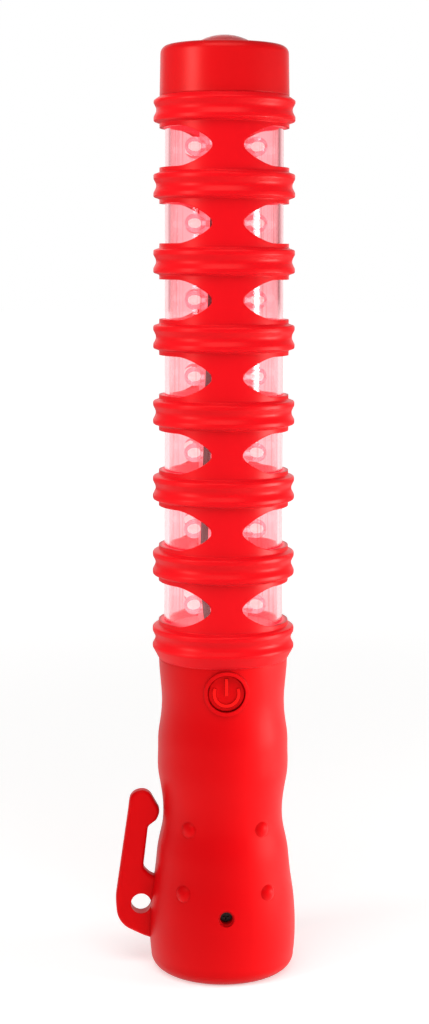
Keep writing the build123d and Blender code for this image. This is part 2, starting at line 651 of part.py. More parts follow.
def around_cells(solid):
    """Three copies of a solid, one on each cell's axis."""
    return [Rot(0, 0, 120 * i + 90) * Pos(CELL_RING_R, 0, 0) * solid for i in range(3)]


def carrier_frame():
    """The moulded carrier: two end plates joined by three bars between the cells."""
    top = CARRIER_Z + CARRIER_LENGTH - CARRIER_PLATE
    body = disc(CARRIER_R, CARRIER_Z, CARRIER_PLATE) + disc(CARRIER_R, top, CARRIER_PLATE)
    out = CARRIER_R - CARRIER_BAR / 2 - CARRIER_BAR_INSET
    for i in range(3):
        bar = tray(CARRIER_BAR, CARRIER_BAR, CARRIER_LENGTH, out, 0, CARRIER_Z)
        body += Rot(0, 0, 120 * i + 30) * bar
    return body


def cells():
    """Three cells side by side, the middle one turned over."""
    low = CARRIER_Z + CARRIER_PLATE
    can = CELL_LENGTH - CELL_NUB
    upright = disc(CELL_R, 0, can) + disc(CELL_NUB_R, can, CELL_NUB)
    turned = disc(CELL_R, CELL_NUB, can) + disc(CELL_NUB_R, 0, CELL_NUB)
    raised = on_z(low + CELL_SPRING_HEIGHT, upright)
    lowered = on_z(low + CONTACT_THICKNESS, turned)
    return [around_cells(s)[i] for i, s in enumerate((raised, lowered, raised))]


def cell_springs():
    low = CARRIER_Z + CARRIER_PLATE
    high = low + CELL_BAY - CELL_SPRING_HEIGHT
    return Compound([around_cells(coil(CELL_SPRING_R, CELL_SPRING_HEIGHT, z))[i]
                     for i, z in enumerate((low, high, low))])


def cell_plates():
    low = CARRIER_Z + CARRIER_PLATE
    high = low + CELL_BAY - CONTACT_THICKNESS
    return Compound([around_cells(disc(CELL_SPRING_R, z, CONTACT_THICKNESS))[i]
                     for i, z in enumerate((high, low, high))])


# Battery cap --------------------------------------------------------------------------------------

def base_cap():
    """The cap that screws into the housing from below and carries the magnet and tail spring."""
    top = CAP_SHOULDER_Z + CAP_PLUG_LENGTH
    seal_z = CAP_SHOULDER_Z + SEAL_Z_IN_PLUG
    seal_band = SEAL_R + TURN_CLEARANCE
    groove_r = SEAL_RING_R - SEAL_R - TURN_CLEARANCE / 2
    points = [
        (0, FOOT_RECESS),
        (CAP_HEAD_R, FOOT_RECESS),
        (CAP_HEAD_R, CAP_SHOULDER_Z),
        (PLUG_R, CAP_SHOULDER_Z),
        (PLUG_R, seal_z - seal_band),
        (groove_r, seal_z - seal_band),
        (groove_r, seal_z + seal_band),
        (PLUG_R, seal_z + seal_band),
        (PLUG_R, top),
        (PLUG_R - CAP_PLUG_WALL, top),
        (PLUG_R - CAP_PLUG_WALL, MAGNET_Z),
        (0, MAGNET_Z),
    ]
    lip = CAP_PLUG_EDGE_R
    edges = [0, CAP_RIM_R, CAP_SHOULDER_R, 0, 0, 0, 0, 0, lip, lip, 0, 0]
    body = spun(FilletPolyline(*points, radius=edges, close=True))
    return body - tray(COIN_SLOT[0], COIN_SLOT[1], COIN_SLOT[2] + 1, 0, 0, FOOT_RECESS - 1)


def cap_seal():
    """The rubber ring in the cap's groove, which slides down the bore as the cap unscrews."""
    seal_z = CAP_SHOULDER_Z + SEAL_Z_IN_PLUG
    return on_z(seal_z, Torus(SEAL_RING_R, SEAL_R))


def base_magnet():
    return disc(MAGNET_R, MAGNET_Z, MAGNET_THICKNESS)


def tail_contact():
    return disc(MAGNET_R, CONTACT_Z, CONTACT_THICKNESS)


def tail_spring():
    return coil(TAIL_SPRING_R, TAIL_SPRING_HEIGHT, TAIL_SPRING_Z)


def write(name, solid):
    export_step(solid, f"parts/{name}.step")


for name, make in (
    ("cage_sleeve", cage_sleeve),
    ("clear_tube", clear_tube),
    ("head_cap", head_cap),
    ("torch_lens", torch_lens),
    ("lens_gasket", lens_gasket),
    ("torch_reflector", torch_reflector),
    ("torch_led", torch_led),
    ("torch_board", torch_board),
    ("tube_plug", tube_plug),
    ("core_post", core_post),
    ("core_foot", core_foot),
    ("core_connector", core_connector),
    ("resistors", resistors),
    ("torch_cable", torch_cable),
    ("handle_housing", handle_housing),
    ("grip", grip),
    ("grip_screw", grip_screw),
    ("power_button", power_button),
    ("switch_plunger", switch_plunger),
    ("switch_body", switch_body),
    ("control_board", control_board),
    ("control_chip", control_chip),
    ("battery_partition", battery_partition),
    ("upper_contact", upper_contact),
    ("carrier_frame", carrier_frame),
    ("cell_springs", cell_springs),
    ("cell_plates", cell_plates),
    ("base_cap", base_cap),
    ("cap_seal", cap_seal),
    ("base_magnet", base_magnet),
    ("tail_contact", tail_contact),
    ("tail_spring", tail_spring),
):
    write(name, make())
for turn, name in zip(LED_TURNS, BOARD_NAMES):
    write(f"led_board_{name}", led_board(turn))
    write(f"leds_{name}", led_column(turn))
for number, cell in enumerate(cells(), 1):
    write(f"cell_{number}", cell)
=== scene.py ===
import math

import bmesh
import bpy
import numpy as np
from mathutils import Matrix, Vector


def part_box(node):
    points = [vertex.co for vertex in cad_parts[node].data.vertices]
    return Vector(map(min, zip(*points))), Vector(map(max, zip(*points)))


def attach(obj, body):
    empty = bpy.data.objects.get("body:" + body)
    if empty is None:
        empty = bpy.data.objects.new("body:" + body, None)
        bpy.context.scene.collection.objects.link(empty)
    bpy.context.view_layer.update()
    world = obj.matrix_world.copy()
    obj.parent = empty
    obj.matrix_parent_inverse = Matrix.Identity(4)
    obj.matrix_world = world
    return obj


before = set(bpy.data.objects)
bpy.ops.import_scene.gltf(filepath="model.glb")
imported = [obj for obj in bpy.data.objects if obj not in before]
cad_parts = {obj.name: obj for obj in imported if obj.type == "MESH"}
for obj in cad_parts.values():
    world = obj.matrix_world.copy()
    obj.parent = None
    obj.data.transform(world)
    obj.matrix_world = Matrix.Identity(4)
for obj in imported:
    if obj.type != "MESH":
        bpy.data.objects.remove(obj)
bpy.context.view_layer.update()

scene = bpy.context.scene


# ---------------------------------------------------------------------------------------------
# Light core: a moulded white polystyrene post that carries four circuit boards under a white
# solder mask. Both have a pinkish white base and a painted red glow in place of the LEDs' light, strongest
# level with each row of LEDs.
# ---------------------------------------------------------------------------------------------
LED_ROWS = 7
LED_RIM_R = 0.0029
LED_SIDES = ("back_right", "back_left", "front_left", "front_right")
CORE_GRAIN_MM = 1.1
CORE_GRAIN_DEPTH = 0.00004

led_low, led_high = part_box("leds_front_right")
led_rows = np.linspace(led_low.z + LED_RIM_R, led_high.z - LED_RIM_R, LED_ROWS)


def linear(hex_colour):
    """The linear colour of an sRGB hex string: each channel c becomes ((c + 0.055) / 1.055) ** 2.4,
    or c / 12.92 near black."""
    srgb = np.array([int(hex_colour[i : i + 2], 16) for i in (1, 3, 5)]) / 255
    low, high = srgb / 12.92, ((srgb + 0.055) / 1.055) ** 2.4
    return (*np.where(srgb <= 0.04045, low, high), 1.0)


def add(tree, kind, links=None, **settings):
    """Adds a node, sets its attributes, and fills each input with a value or another node's output.
    A Mix node in RGBA mode has its two colours at inputs 6 and 7 and its result at output 2."""
    made = tree.nodes.new(kind)
    for name, value in settings.items():
        setattr(made, name, value)
    for name, value in (links or {}).items():
        if isinstance(value, bpy.types.NodeSocket):
            tree.links.new(value, made.inputs[name])
        else:
            made.inputs[name].default_value = value
    return made


def new_material(name, **constants):
    """A node material with one Principled shader, whose own sockets take the given constants."""
    material = bpy.data.materials.new(name)
    material.use_nodes = True
    tree = material.node_tree
    tree.nodes.clear()
    shader = add(tree, "ShaderNodeBsdfPrincipled")
    for socket, value in constants.items():
        shader.inputs[socket.replace("_", " ")].default_value = value
    add(tree, "ShaderNodeOutputMaterial", {"Surface": shader.outputs[0]})
    return material, tree, shader


def dress(material, *nodes):
    """Gives carried-over CAD nodes their material."""
    for node in nodes:
        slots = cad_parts[node].data.materials
        slots.clear()
        slots.append(material)


def glow_painted_white(name, colour, painted_glow, dim, bright, roughness, grain):
    """A pinkish white surface with a painted glow in place of the LEDs' light. The painted glow runs from
    dim to bright as the cosine of the height over one row of LEDs, and fine noise roughens its skin."""
    material, tree, shader = new_material(
        name, Base_Color=linear(colour), Emission_Color=linear(painted_glow), Roughness=roughness
    )
    place = add(tree, "ShaderNodeTexCoord").outputs["Object"]
    height = add(tree, "ShaderNodeSeparateXYZ", {"Vector": place}).outputs["Z"]
    pitch = float(led_rows[1] - led_rows[0])
    above = add(tree, "ShaderNodeMath", {0: height, 1: float(led_rows[0])}, operation="SUBTRACT")
    turn = add(tree, "ShaderNodeMath", {0: above.outputs[0], 1: 2 * math.pi / pitch}, operation="MULTIPLY")
    wave = add(tree, "ShaderNodeMath", {0: turn.outputs[0]}, operation="COSINE")
    # Painted glow: emission in place of the LEDs' light, brightest level with each row of LEDs.
    painted_glow_strength = add(
        tree,
        "ShaderNodeMapRange",
        {"Value": wave.outputs[0], "From Min": -1.0, "To Min": dim, "To Max": bright},
    )
    tree.links.new(painted_glow_strength.outputs[0], shader.inputs["Emission Strength"])
    skin = add(tree, "ShaderNodeTexNoise", {"Vector": place, "Scale": 1000 / CORE_GRAIN_MM, "Detail": 2.0})
    bump = add(
        tree,
        "ShaderNodeBump",
        {"Height": skin.outputs[0], "Strength": grain, "Distance": CORE_GRAIN_DEPTH},
    )
    tree.links.new(bump.outputs[0], shader.inputs["Normal"])
    return material


dress(
    glow_painted_white("white_solder_mask_painted_glow", "#F6DEDC", "#FF5A6A", dim=0.25, bright=0.75, roughness=0.35, grain=0.15),
    *[f"led_board_{side}" for side in LED_SIDES],
)
dress(
    glow_painted_white("white_polystyrene_painted_glow", "#F4DCDA", "#FF5064", dim=0.20, bright=0.50, roughness=0.45, grain=0.10),
    "core_post", "core_foot", "tube_plug", "core_connector",
)


# ---------------------------------------------------------------------------------------------
# LEDs: 5 mm bodies of water-clear epoxy cast round a tinned steel lead frame. They stand out
# from the boards, and the epoxy in front of each die glows red-white.
# ---------------------------------------------------------------------------------------------
LED_SEAT_R = 0.00535
LED_TURNS = np.radians([45, 135, 225, 315])
EPOXY_GLOW = 0.22
SMEAR_MM = 8.33
SMEAR_SPREAD = 0.08
SMEAR_FROM, SMEAR_FULL = 0.45, 0.75
FINISH_DARKEST = 0.85
FINISH_BUMP = 0.08
FINISH_BUMP_DEPTH = 0.00003
CORE_OUT = np.array([0.0050, 0.0051, 0.0056, 0.0064, 0.0071, 0.0076, 0.0078])
CORE_R = 0.00085
CORE_SWELL = np.array([0.0, 0.62, 0.9, 1.0, 0.85, 0.5, 0.0])
CORE_SIDES = 16
CORE_HAZE_MM = 0.8
CORE_DIM, CORE_BRIGHT = 0.85, 1.45
POST_BOTTOM, POST_TOP = 0.0002, 0.0026
POST_HALF = 0.00028
POST_OFFSET = 0.0009
MERGE_DISTANCE = 1e-7


def clear_plastic(name, colour, ior, roughness):
    """Polished clear plastic. Finger smears, as slow noise, dull its gloss in places."""
    material, tree, shader = new_material(
        name, Base_Color=linear(colour), Transmission_Weight=1.0, IOR=ior, Roughness=roughness
    )
    place = add(tree, "ShaderNodeTexCoord").outputs["Object"]
    smear = add(tree, "ShaderNodeTexNoise", {"Vector": place, "Scale": 1000 / SMEAR_MM, "Detail": 3.0})
    smeared = {"From Min": SMEAR_FROM, "From Max": SMEAR_FULL}
    dulled = {"To Min": roughness, "To Max": roughness + SMEAR_SPREAD}
    gloss = add(tree, "ShaderNodeMapRange", {"Value": smear.outputs[0], **smeared, **dulled})
    tree.links.new(gloss.outputs[0], shader.inputs["Roughness"])
    return material, tree, shader


def finish(name, colour, roughness, metallic=0.0, grain_mm=0.4, spread=0.08, painted_glow=0.0):
    """A plain finish. Noise of the given grain moves its roughness by the spread either way, darkens
    its tone as far as FINISH_DARKEST and bumps its skin. The painted glow is a red emission in place of
    light from round it."""
    material, tree, shader = new_material(
        name, Metallic=metallic, Emission_Color=linear("#D8000C"), Emission_Strength=painted_glow
    )
    place = add(tree, "ShaderNodeTexCoord").outputs["Object"]
    noise = add(tree, "ShaderNodeTexNoise", {"Vector": place, "Scale": 1000 / grain_mm, "Detail": 3.0})
    drift = {"To Min": roughness - spread, "To Max": roughness + spread}
    gloss = add(tree, "ShaderNodeMapRange", {"Value": noise.outputs[0], **drift})
    tree.links.new(gloss.outputs[0], shader.inputs["Roughness"])
    dark = tuple(FINISH_DARKEST * channel for channel in linear(colour)[:3]) + (1.0,)
    tone = add(
        tree, "ShaderNodeMix", {"Factor": noise.outputs[0], 6: linear(colour), 7: dark}, data_type="RGBA"
    )
    tree.links.new(tone.outputs[2], shader.inputs["Base Color"])
    texture = {"Height": noise.outputs[0], "Strength": FINISH_BUMP, "Distance": FINISH_BUMP_DEPTH}
    bump = add(tree, "ShaderNodeBump", texture)
    tree.links.new(bump.outputs[0], shader.inputs["Normal"])
    return material


def lathe(profile, sides):
    """Points of a profile of (x, radius) pairs turned about the x axis in so many sides: y is the
    radius times the cosine of the turn, and z less its sine, so that faces point outwards."""
    turn = np.linspace(0, 2 * np.pi, sides, endpoint=False)
    x = profile[:, :1] + 0 * turn
    return np.stack([x, profile[:, 1:] * np.cos(turn), -profile[:, 1:] * np.sin(turn)], axis=-1)


def wrapped_quads(rows, columns):
    """Quads over a grid of rows by columns points whose columns close on themselves."""
    index = np.arange(rows * columns).reshape(rows, columns)
    index = np.concatenate([index, index[:, :1]], axis=1)
    quads = np.stack([index[:-1, :-1], index[1:, :-1], index[1:, 1:], index[:-1, 1:]], axis=-1)
    return quads.reshape(-1, 4)


def new_piece(name, points, faces, material):
    """A new object at the origin from an array of points and its faces. Points that meet at a pole
    are merged, which closes it."""
    mesh = bpy.data.meshes.new(name)
    mesh.from_pydata(points.reshape(-1, 3), [], faces)
    shell = bmesh.new()
    shell.from_mesh(mesh)
    bmesh.ops.remove_doubles(shell, verts=shell.verts, dist=MERGE_DISTANCE)
    shell.to_mesh(mesh)
    shell.free()
    mesh.materials.append(material)
    piece = bpy.data.objects.new(name, mesh)
    scene.collection.objects.link(piece)
    return piece


def at_every_led(name, points, material):
    """One piece out of copies of a closed grid, given as x out from the board, y across and z up:
    each copy is turned about the flare's axis to its column and lifted to its row."""
    cosine, sine = np.cos(LED_TURNS)[:, None], np.sin(LED_TURNS)[:, None]
    out, across, up = points.reshape(-1, 3).T
    x = cosine * out - sine * across
    y = sine * out + cosine * across
    column = np.stack([x, y, up + 0 * x], axis=-1)
    copies = column[None] + led_rows[:, None, None, None] * np.array([0, 0, 1])
    copies = copies.reshape(-1, len(out), 3)
    quads = wrapped_quads(*points.shape[:2])
    faces = (quads[None] + len(out) * np.arange(len(copies))[:, None, None]).reshape(-1, 4)
    piece = new_piece(name, copies, faces, material)
    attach(piece, "flare")


led_epoxy, tree, shader = clear_plastic("water_clear_epoxy", "#FFDEE2", ior=1.54, roughness=0.06)
shader.inputs["Emission Color"].default_value = linear("#FFA8B0")
shader.inputs["Emission Strength"].default_value = EPOXY_GLOW
dress(led_epoxy, *[f"leds_{side}" for side in LED_SIDES])

lit_core, tree, shader = new_material(
    "lit_epoxy_core", Base_Color=linear("#FFE6E0"), Roughness=0.4, Emission_Color=linear("#FFDCD4")
)
place = add(tree, "ShaderNodeTexCoord").outputs["Object"]
haze = add(tree, "ShaderNodeTexNoise", {"Vector": place, "Scale": 1000 / CORE_HAZE_MM, "Detail": 1.0})
swell = add(
    tree, "ShaderNodeMapRange", {"Value": haze.outputs[0], "To Min": CORE_DIM, "To Max": CORE_BRIGHT}
)
tree.links.new(swell.outputs[0], shader.inputs["Emission Strength"])
core_profile = np.stack([LED_SEAT_R + CORE_OUT, CORE_R * CORE_SWELL], axis=-1)
at_every_led("led_cores", lathe(core_profile, CORE_SIDES), lit_core)

lead_steel = finish("tinned_lead_frame", "#D8C8C4", 0.28, metallic=1.0, grain_mm=0.2)
post_profile = np.array(
    [[POST_BOTTOM, 0.0], [POST_BOTTOM, POST_HALF], [POST_TOP, POST_HALF], [POST_TOP, 0.0]]
)
for name, across in (("led_cathode_posts", -POST_OFFSET), ("led_anode_posts", POST_OFFSET)):
    post = lathe(post_profile + [LED_SEAT_R, 0], 4)
    at_every_led(name, post + [0, across, 0], lead_steel)

# ---------------------------------------------------------------------------------------------
# On and beside the boards: black ceramic chip resistors, and the torch's lead in black PVC.
# ---------------------------------------------------------------------------------------------
chip_black = finish("ceramic_resistor", "#2A2624", 0.35)
dress(chip_black, "resistors")
dress(finish("black_pvc_jacket", "#1C1412", 0.4), "torch_cable")

# ---------------------------------------------------------------------------------------------
# Torch in the head: a vacuum-metallised reflector over a white ceramic emitter, on a round
# board under green solder mask. It shines up through the lens.
# ---------------------------------------------------------------------------------------------
green_mask = finish("green_solder_mask", "#1E6B3C", 0.3)
dress(green_mask, "torch_board")
dress(finish("white_ceramic_emitter", "#F3E9C8", 0.5), "torch_led")
dress(
    finish("vacuum_metallised_reflector", "#DAD6D4", 0.12, metallic=1.0, spread=0.04),
    "torch_reflector",
)

# ---------------------------------------------------------------------------------------------
# Light tube: drawn clear acrylic over the core. The die leaves faint lines along it. A pink tint and a
# faint painted red glow stand in for the LEDs' light in it. The die lines are drawn coarser than real, so
# they show.
# ---------------------------------------------------------------------------------------------
TUBE_PAINTED_TINT = "#FFDADE"
TUBE_PAINTED_GLOW = 0.07
DIE_LINE_MM = 0.9
DIE_LINE_STRETCH = 0.02
DIE_LINE_FROM, DIE_LINE_FULL = 0.60, 0.72
DIE_LINE_STRENGTH = 0.55

acrylic, tree, shader = clear_plastic("clear_acrylic", TUBE_PAINTED_TINT, ior=1.49, roughness=0.01)
place = add(tree, "ShaderNodeTexCoord").outputs["Object"]
drawn = add(
    tree, "ShaderNodeVectorMath", {0: place, 1: (1.0, 1.0, DIE_LINE_STRETCH)}, operation="MULTIPLY"
)
lines = add(
    tree, "ShaderNodeTexNoise", {"Vector": drawn.outputs[0], "Scale": 1000 / DIE_LINE_MM, "Detail": 1.0}
)
cut = {"From Min": DIE_LINE_FROM, "From Max": DIE_LINE_FULL, "To Max": DIE_LINE_STRENGTH}
strength = add(tree, "ShaderNodeMapRange", {"Value": lines.outputs[0], **cut})
lined = add(
    tree,
    "ShaderNodeMix",
    {"Factor": strength.outputs[0], 6: linear(TUBE_PAINTED_TINT), 7: linear("#A8605C")},
    data_type="RGBA",
)
tree.links.new(lined.outputs[2], shader.inputs["Base Color"])
# Painted glow: the tube emits faint red in place of the LEDs' light.
shader.inputs["Emission Color"].default_value = linear("#FF2838")
shader.inputs["Emission Strength"].default_value = TUBE_PAINTED_GLOW
dress(acrylic, "clear_tube")


# ---------------------------------------------------------------------------------------------
# Ringed sleeve: one soft red rubber moulding, stretched over the light tube. It came out of a
# spark-eroded steel mould, so its skin is satin with a fine grain and a faint flow cloudiness.
# A painted red glow stands in for light from the tube: strong in its bore, faint on its outer skin.
# ---------------------------------------------------------------------------------------------
FLOW_CLOUD_MM = 14.3
GLOSS_DRIFT = 0.06
CORNER_REACH = 0.005
MOULD_GRAIN_DEPTH = 0.00004
SLEEVE_BORE = 0.0159
SLEEVE_SKIN = 0.0168
BORE_PAINTED_GLOW, SKIN_PAINTED_GLOW = 0.9, 0.075


def moulded_red(name, colour, deep, roughness, grain_mm, grain, specular, edge_mm, painted_corner_shade=0.5):
    """Red moulded rubber or plastic. Its colour drifts between two reds with slow noise, its
    roughness follows the same clouds, a fine noise bumps it, its edges are softened by edge_mm,
    and painted shade darkens its corners and creases towards painted_corner_shade."""
    material, tree, shader = new_material(
        name, IOR=1.5, Specular_IOR_Level=specular, Specular_Tint=linear("#FF8A80")
    )
    place = add(tree, "ShaderNodeTexCoord").outputs["Object"]
    cloud = add(tree, "ShaderNodeTexNoise", {"Vector": place, "Scale": 1000 / FLOW_CLOUD_MM, "Detail": 3.0})
    tint = add(
        tree,
        "ShaderNodeMix",
        {"Factor": cloud.outputs[0], 6: linear(colour), 7: linear(deep)},
        data_type="RGBA",
    )
    # Painted shade: ambient occlusion darkens the colour in corners and creases.
    corner = add(tree, "ShaderNodeAmbientOcclusion", {"Distance": CORNER_REACH}, samples=4)
    shade = add(tree, "ShaderNodeMapRange", {"Value": corner.outputs["AO"], "To Min": painted_corner_shade})
    shaded = add(
        tree, "ShaderNodeVectorMath", {0: tint.outputs[2], "Scale": shade.outputs[0]}, operation="SCALE"
    )
    tree.links.new(shaded.outputs[0], shader.inputs["Base Color"])
    drift = {"To Min": roughness - GLOSS_DRIFT, "To Max": roughness + GLOSS_DRIFT}
    gloss = add(tree, "ShaderNodeMapRange", {"Value": cloud.outputs[0], **drift})
    tree.links.new(gloss.outputs[0], shader.inputs["Roughness"])
    rounded = add(tree, "ShaderNodeBevel", {"Radius": edge_mm / 1000}, samples=3)
    skin = add(tree, "ShaderNodeTexNoise", {"Vector": place, "Scale": 1000 / grain_mm, "Detail": 2.0})
    texture = {"Height": skin.outputs[0], "Strength": grain, "Distance": MOULD_GRAIN_DEPTH}
    bump = add(tree, "ShaderNodeBump", {**texture, "Normal": rounded.outputs[0]})
    tree.links.new(bump.outputs[0], shader.inputs["Normal"])
    return material, tree, shader


sleeve_rubber, tree, shader = moulded_red(
    "moulded_red_rubber",
    "#FB0814",
    "#F0040E",
    roughness=0.36,
    grain_mm=0.35,
    grain=0.10,
    specular=0.42,
    edge_mm=0.25,
    painted_corner_shade=0.35,
)
place = add(tree, "ShaderNodeTexCoord").outputs["Object"]
flat = add(tree, "ShaderNodeVectorMath", {0: place, 1: (1.0, 1.0, 0.0)}, operation="MULTIPLY")
radius = add(tree, "ShaderNodeVectorMath", {0: flat.outputs[0]}, operation="LENGTH").outputs["Value"]
# Painted glow: emission that fades from the bore out to the skin.
fading = {"From Min": SLEEVE_BORE, "From Max": SLEEVE_SKIN, "To Min": BORE_PAINTED_GLOW, "To Max": SKIN_PAINTED_GLOW}
sleeve_painted_glow = add(tree, "ShaderNodeMapRange", {"Value": radius, **fading})
shader.inputs["Emission Color"].default_value = linear("#FF3A4C")
tree.links.new(sleeve_painted_glow.outputs[0], shader.inputs["Emission Strength"])
dress(sleeve_rubber, "cage_sleeve")

# ---------------------------------------------------------------------------------------------
# Seam beads: flexible red adhesive squeezed out of the sleeve's two joints, one against the
# head cap and one against the grip. Each is a thin ring just inside the skin.
# ---------------------------------------------------------------------------------------------
SLEEVE_WALL_R = 0.0173
BEAD_SINK = 0.00006
BEAD_R = 0.00035
BEAD_STEPS, BEAD_SIDES = 160, 10


def seam_bead(name, z):
    """A ring of round section round the flare's axis at height z. The row
    after the grid's last is its first again, so the last quads close the ring."""
    turn = np.linspace(0, 2 * np.pi, BEAD_STEPS, endpoint=False)[:, None]
    section = np.linspace(0, 2 * np.pi, BEAD_SIDES, endpoint=False)[None, :]
    reach = SLEEVE_WALL_R - BEAD_SINK - BEAD_R + BEAD_R * np.cos(section) + 0 * turn
    height = z + BEAD_R * np.sin(section) + 0 * turn
    points = np.stack([reach * np.cos(turn), reach * np.sin(turn), height], axis=-1)
    faces = wrapped_quads(BEAD_STEPS + 1, BEAD_SIDES) % (BEAD_STEPS * BEAD_SIDES)
    piece = new_piece(name, points, faces, sleeve_rubber)
    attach(piece, "flare")


sleeve_low, sleeve_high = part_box("cage_sleeve")
seam_bead("lower_seam_bead", (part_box("grip")[1].z + sleeve_low.z) / 2)
seam_bead("upper_seam_bead", (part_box("head_cap")[0].z + sleeve_high.z) / 2)

# ---------------------------------------------------------------------------------------------
# Head cap and battery cap: injection-moulded red ABS with a drawn satin side, a little duller
# than the rubber. The head cap is glued on the light tube; the other screws into the foot.
# ---------------------------------------------------------------------------------------------
cap_plastic, _, _ = moulded_red(
    "moulded_red_abs",
    "#D80610",
    "#CF040C",
    roughness=0.36,
    grain_mm=0.5,
    grain=0.06,
    specular=0.6,
    edge_mm=0.2,
)
dress(cap_plastic, "head_cap", "base_cap")

# ---------------------------------------------------------------------------------------------
# Torch lens: a dome moulded in red-tinted acrylic with a frosted skin, pressed on a black
# nitrile gasket. The battery cap's seal is the same rubber.
# ---------------------------------------------------------------------------------------------
LENS_CLEARNESS = 0.22

lens_acrylic, tree, shader = clear_plastic("clear_lens_acrylic", "#E64A4C", ior=1.49, roughness=0.25)
shader.inputs["Transmission Weight"].default_value = LENS_CLEARNESS
dress(lens_acrylic, "torch_lens")
dress(finish("black_nitrile", "#101010", 0.55), "lens_gasket", "cap_seal")

# ---------------------------------------------------------------------------------------------
# Handle housing: deep red ABS, moulded as one tube. Only its floor behind the button shows, and a
# painted red glow, in place of light from the rubber round it, keeps that gap a dark red.
# ---------------------------------------------------------------------------------------------
# Painted glow: red emission on the housing keeps the gap round the button from going dark.
dress(finish("deep_red_abs", "#A8040C", 0.45, painted_glow=0.6), "handle_housing")

# ---------------------------------------------------------------------------------------------
# Grip: soft red rubber moulded over the handle housing, with bezel, pips and hook in the same
# shot. A blackened steel screw in a side hole holds it.
# ---------------------------------------------------------------------------------------------
grip_rubber, _, _ = moulded_red(
    "soft_red_grip",
    "#F0030E",
    "#E6020C",
    roughness=0.44,
    grain_mm=0.35,
    grain=0.10,
    specular=0.26,
    edge_mm=0.3,
)
dress(grip_rubber, "grip")
dress(finish("blackened_steel", "#3A3230", 0.45, metallic=1.0), "grip_screw")

# ---------------------------------------------------------------------------------------------
# Power button: a thin plug of the grip's rubber with a raised power symbol. A painted glow makes the
# symbol's top read lighter than the face, which lies SYMBOL_HEIGHT behind it.
# ---------------------------------------------------------------------------------------------
SYMBOL_HEIGHT = 0.00035
SYMBOL_FROM, SYMBOL_FULL = 0.00008, 0.0003
SYMBOL_PAINTED_GLOW = 0.35

face_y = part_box("power_button")[0].y + SYMBOL_HEIGHT
button_rubber, tree, shader = moulded_red(
    "soft_red_button",
    "#F0000A",
    "#E20008",
    roughness=0.42,
    grain_mm=0.35,
    grain=0.10,
    specular=0.26,
    edge_mm=0.15,
)
place = add(tree, "ShaderNodeTexCoord").outputs["Object"]
depth = add(tree, "ShaderNodeSeparateXYZ", {"Vector": place}).outputs["Y"]
# Painted highlight: emission lightens the symbol's top above the face.
symbol_glow_span = {"From Min": face_y - SYMBOL_FROM, "From Max": face_y - SYMBOL_FULL, "To Max": SYMBOL_PAINTED_GLOW}
symbol_painted_glow = add(tree, "ShaderNodeMapRange", {"Value": depth, **symbol_glow_span})
shader.inputs["Emission Color"].default_value = linear("#FF2A20")
tree.links.new(symbol_painted_glow.outputs[0], shader.inputs["Emission Strength"])
dress(button_rubber, "power_button")

# ---------------------------------------------------------------------------------------------
# Inside the handle: a black nylon switch, partition and cell carrier, an acetal plunger, a green
# control board with its chip, and three cells in printed jackets.
# ---------------------------------------------------------------------------------------------
dress(finish("black_nylon", "#17161A", 0.5), "switch_body", "battery_partition", "carrier_frame")
dress(finish("white_acetal", "#E9E7E2", 0.4), "switch_plunger")
dress(green_mask, "control_board")
dress(chip_black, "control_chip")
dress(finish("printed_cell_jacket", "#2C5AA8", 0.3), "cell_1", "cell_2", "cell_3")

# ---------------------------------------------------------------------------------------------
# Contacts: nickel-plated steel stampings, with the foot's nickel-plated magnet among them, and
# springs wound from zinc-plated wire.
# ---------------------------------------------------------------------------------------------
nickel = finish("nickel_plate", "#C9C4BA", 0.25, metallic=1.0)
dress(nickel, "upper_contact", "cell_plates", "tail_contact", "base_magnet")
dress(finish("zinc_plated_spring_wire", "#BDBDB8", 0.3, metallic=1.0), "cell_springs", "tail_spring")


# ---------------------------------------------------------------------------------------------
# Lights: a high softbox and one on the left for the head and sleeve, a low strip on the right
# for the grip, and a card that only the tube mirrors. Flags keep each off what it would bleach.
# ---------------------------------------------------------------------------------------------
def softbox(name, azimuth, elevation, distance, size, aim_z, power):
    """A rectangular area light round the flare, turned to face its axis at the height aim_z."""
    data = bpy.data.lights.new(name, "AREA")
    data.shape = "RECTANGLE"
    data.size, data.size_y = size
    data.energy = power
    light = bpy.data.objects.new(name, data)
    scene.collection.objects.link(light)
    a, e = math.radians(azimuth), math.radians(elevation)
    back = Vector((math.sin(a) * math.cos(e), -math.cos(a) * math.cos(e), math.sin(e)))
    light.location = Vector((0, 0, aim_z)) + back * distance
    light.rotation_euler = back.to_track_quat("Z", "Y").to_euler()
    return light


def flag(light, state, *nodes):
    """Keeps a light off some CAD nodes (EXCLUDE), or lets it fall on them alone (INCLUDE)."""
    receivers = bpy.data.collections.new(light.name + "_receivers")
    for count, node in enumerate(nodes):
        receivers.objects.link(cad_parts[node])
        receivers.collection_objects[count].light_linking.link_state = state
    light.light_linking.receiver_collection = receivers


softbox(
    "overhead_softbox", azimuth=-8, elevation=58, distance=0.9, size=(0.8, 0.5), aim_z=0.13, power=4.0
)
left_softbox = softbox(
    "left_softbox", azimuth=-62, elevation=8, distance=0.8, size=(0.26, 0.43), aim_z=0.22, power=3.2
)
right_strip = softbox(
    "right_strip", azimuth=80, elevation=3, distance=0.38, size=(0.2, 0.1), aim_z=0.06, power=1.1
)
window_card = softbox(
    "window_card", azimuth=63, elevation=-2, distance=0.8, size=(0.15, 0.15), aim_z=0.19, power=1.3
)
flag(left_softbox, "EXCLUDE", "clear_tube", "grip", "power_button")
flag(right_strip, "EXCLUDE", "clear_tube")
flag(window_card, "INCLUDE", "clear_tube")

